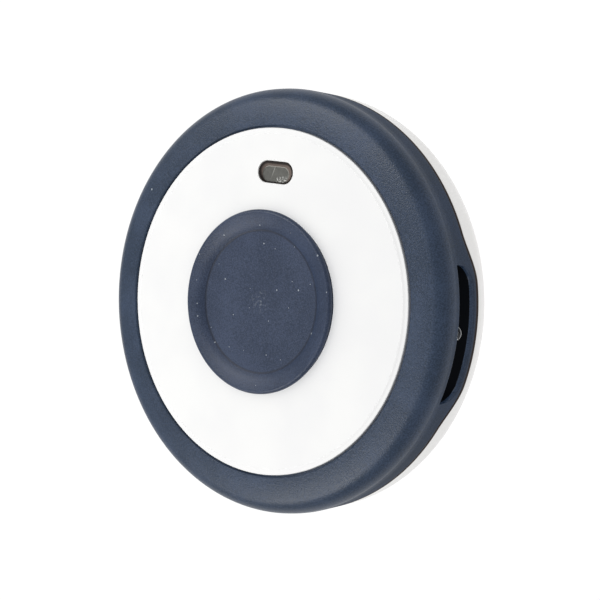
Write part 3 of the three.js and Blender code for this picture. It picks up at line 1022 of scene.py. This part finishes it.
def rearCover(material):
    v = cover
    edge = v["rimEdge"]
    flat = caseRadius - v["rounding"] - v["flatInset"]
    profiles = []
    for turn in np.arange(v["count"]) * 2 * math.pi / v["count"]:
        outer, rimHeight, radiusAt = coverRows(turn, v["rounding"])
        inner, _, innerAt = coverRows(turn, v["rounding"] - v["wall"])
        rimRadius = radiusAt(rimHeight)
        innerRim = innerAt(rimHeight)
        profile = [
            (flat, 0),
            *outer,
            *arcPoints(rimRadius - edge, rimHeight - edge, edge, 0, 90, 4),
            (innerRim + edge, rimHeight),
            (innerRim, rimHeight - edge),
            *reversed(inner),
            (flat, v["wall"]),
        ]
        profiles.append([(r * math.cos(turn), r * math.sin(turn), z) for r, z in profile])
    skin = Skin()
    loops = skin.stack(np.array(profiles).transpose(1, 0, 2))
    rimRow = len(outer) + 2
    for loop in loops[rimRow:rimRow + 5]:  # the top of the rim, hidden in the seam, where its painted shadow goes
        skin.mark(loop)

    recess = [
        (v["recess"] + v["recessChamfer"] * 1.4, 0),
        (v["recess"] + v["recessChamfer"], 0),
        (v["recess"], v["recessChamfer"]),
        (v["recess"], v["recessDepth"]),
        (v["screwHole"], v["recessDepth"]),
        (v["screwHole"], v["tubeTop"]),
        (v["tube"], v["tubeTop"]),
        (v["tube"], v["wall"]),
    ]
    holes = [
        skin.stack([ring(r, z, v["recessCount"], place) for r, z in recess])
        for place in screwPlaces()
    ]
    skin.fill(loops[0], *[hole[0] for hole in holes])
    skin.fill(loops[-1], *[hole[-1] for hole in holes])
    return skin.finish("rearCover", material, sharp=35)


screws = {
    "Circle": cover["screwCircle"],
    "Head": 1.3 * mm,
    "Head Bottom": 0.6 * mm,
    "Head Top": 1.4 * mm,
    "Head Round": 0.16 * mm,
    "Head Corner": 0.03 * mm,
    "Shank": 0.75 * mm,
    "Shank Corner": 0.05 * mm,
    "Tip": 7.3 * mm,
    "Tip Length": 0.5 * mm,
    "Cross Length": 1.5 * mm,
    "Cross Width": 0.36 * mm,
    "Cross Depth": 0.45 * mm,
    "Segments": 48,
}


def screwArm(maker, width, length, depth):
    size = maker.node("ShaderNodeCombineXYZ", None, [width, length, depth])
    lift = maker.node("ShaderNodeCombineXYZ", None, [0, 0, maker.value("Head Bottom")])
    arm = maker.node("GeometryNodeMeshCube", None, [size])
    return maker.node("GeometryNodeTransform", None, {"Geometry": arm, "Translation": lift})


def coverScrews(material):
    maker = Maker("screwShape", screws)
    v = maker.value
    zero = v("Head") * 0
    points = [
        (zero, v("Head Bottom"), 0.0),
        (v("Head"), v("Head Bottom"), v("Head Round")),
        (v("Head"), v("Head Top"), v("Head Corner")),
        (v("Shank"), v("Head Top"), v("Shank Corner")),
        (v("Shank"), v("Tip") - v("Tip Length"), v("Shank Corner")),
        (v("Shank") * 0.3, v("Tip"), v("Shank Corner")),
        (zero, v("Tip"), 0.0),
    ]
    screw = maker.turned(points, v("Head"), v("Segments"))
    depth = v("Cross Depth") * 2
    arms = [
        screwArm(maker, v("Cross Length"), v("Cross Width"), depth),
        screwArm(maker, v("Cross Width"), v("Cross Length"), depth * 0.92),  # no shared floor
    ]
    for arm in arms:
        cut = maker.tree.nodes.new("GeometryNodeMeshBoolean")
        cut.operation = "DIFFERENCE"
        maker.tree.links.new(screw.socket, cut.inputs["Mesh 1"])
        maker.tree.links.new(arm.socket, cut.inputs["Mesh 2"])
        screw = Wire(maker, cut.outputs[0])
    sizes = {"Vertices": 4, "Radius": v("Circle")}
    corners = maker.node("GeometryNodeMeshCircle", None, sizes)
    sockets = {"Geometry": corners, "Rotation": (0, 0, math.pi / 4)}
    corners = maker.node("GeometryNodeTransform", None, sockets)
    limits = {"Min": 0.0, "Max": math.pi / 2, "Seed": 4}
    spun = maker.node("FunctionNodeRandomValue", {"data_type": "FLOAT"}, limits, 1)
    placed = maker.node("GeometryNodeInstanceOnPoints", None, {
        "Points": corners,
        "Instance": screw,
        "Rotation": maker.node("ShaderNodeCombineXYZ", None, [0, 0, spun]),
    })
    piece = maker.build("coverScrews", placed, material, sharp=40)
    settle(piece, "case", "pin_steel", *[f"cover_screw_{k}" for k in (1, 2, 3, 4)])


strapPin = {
    "radius": 0.45 * mm,
    "bevel": 0.1 * mm,
    "collar": 0.7 * mm,
    "collarHeight": 0.3 * mm,
    "collarEdge": 0.08 * mm,
    "collarSunk": 0.05 * mm,  # into the floor of the slot
    "count": 48,
}


def strapPins(material):
    p = strapPin
    low, high = pinLow.z, pinHigh.z
    foot = housing["slotBottom"]
    shoulder = foot + p["collarHeight"] * 0.5
    profile = [
        (p["radius"] - p["bevel"], low),
        (p["radius"], low + p["bevel"]),
        (p["radius"], foot - p["collarSunk"]),
        (p["collar"], foot - p["collarSunk"]),
        (p["collar"], shoulder),
        *arcPoints(p["collar"] - p["collarEdge"], shoulder, p["collarEdge"], 0, 90, 4),
        (p["radius"], foot + p["collarHeight"]),
        (p["radius"], high - p["bevel"]),
        (p["radius"] - p["bevel"], high),
    ]
    for side, node in ((1, "strap_pin_right"), (-1, "strap_pin_left")):
        skin = Skin()
        loops = skin.stack([ring(r, z, p["count"], (side * pinX, 0)) for r, z in profile])
        skin.cap(loops[0])
        skin.cap(loops[-1])
        name = "strapPinRight" if side > 0 else "strapPinLeft"
        settle(skin.finish(name, material, sharp=40), "case", "pin_steel", node)


bpy.context.scene.view_settings.view_transform = "Standard"
makeCamera()
makeStudio()
print("camera and studio ready")

rubber = (rgb(30, 44, 67), rgb(54, 67, 93))  # the button's own tones
skinTones = (softTouch["colour"], softTouch["paler"])
paints = {
    "soft_navy": softTouchPaint("softNavy", *skinTones, 0.4, 2.6 * mm, onButton=False),
    "navy_rubber": softTouchPaint("navyRubber", *rubber, 0.42, 2.2 * mm, onButton=True),
    "white_face": whiteFacePaint(),
    "white_cover": whiteCoverPaint(),
    "smoked_clear": lensPaint(),
    "pin_steel": metalPaint("pinSteel", rgb(205, 207, 210), 0.22),
    "cell_steel": metalPaint("cellSteel", rgb(190, 192, 196), 0.34),
    "spring_steel": metalPaint("springSteel", rgb(200, 196, 186), 0.3),
    "black_plastic": mouldedPaint("blackPlastic", rgb(30, 31, 34), rgb(42, 43, 46), 0.5),
    "chip_black": mouldedPaint("chipBlack", rgb(26, 27, 29), rgb(38, 39, 41), 0.42),
    "black_rubber": mouldedPaint("blackRubber", rgb(22, 22, 24), rgb(32, 32, 34), 0.7),
    "grey_silicone": mouldedPaint("greySilicone", rgb(136, 141, 148), rgb(150, 155, 161), 0.7),
    "green_board": mouldedPaint("greenBoard", rgb(22, 84, 52), rgb(34, 104, 66), 0.35, 0.5 * mm),
    "ceramic_body": mouldedPaint("ceramicBody", rgb(196, 180, 138), rgb(210, 196, 160), 0.5),
    "light_resin": mouldedPaint("lightResin", rgb(238, 232, 200), rgb(250, 246, 226), 0.2),
    "clear_adhesive": mouldedPaint("clearAdhesive", rgb(214, 214, 206), rgb(224, 224, 218), 0.35),
}
print("materials ready")

settle(frontHousing(paints["soft_navy"]), "case", "soft_navy", "front_housing")
settle(facePlate(paints["white_face"]), "case", "white_face", "face_plate")
settle(lightWindow(paints["smoked_clear"]), "case", "smoked_clear", "light_window")
settle(buttonCap(paints["navy_rubber"]), "button", "navy_rubber", "button_cap")
settle(rearCover(paints["white_cover"]), "case", "white_cover", "rear_cover")
strapPins(paints["pin_steel"])
coverScrews(paints["pin_steel"])
print("case and button built")

slotOf = {part["node"]: part["material_slot"] for part in frame["record"]["subparts"]}
for name, node in frame["nodes"].items():
    node.data.materials.clear()
    node.data.materials.append(paints[slotOf[name]])
print("inner parts painted")
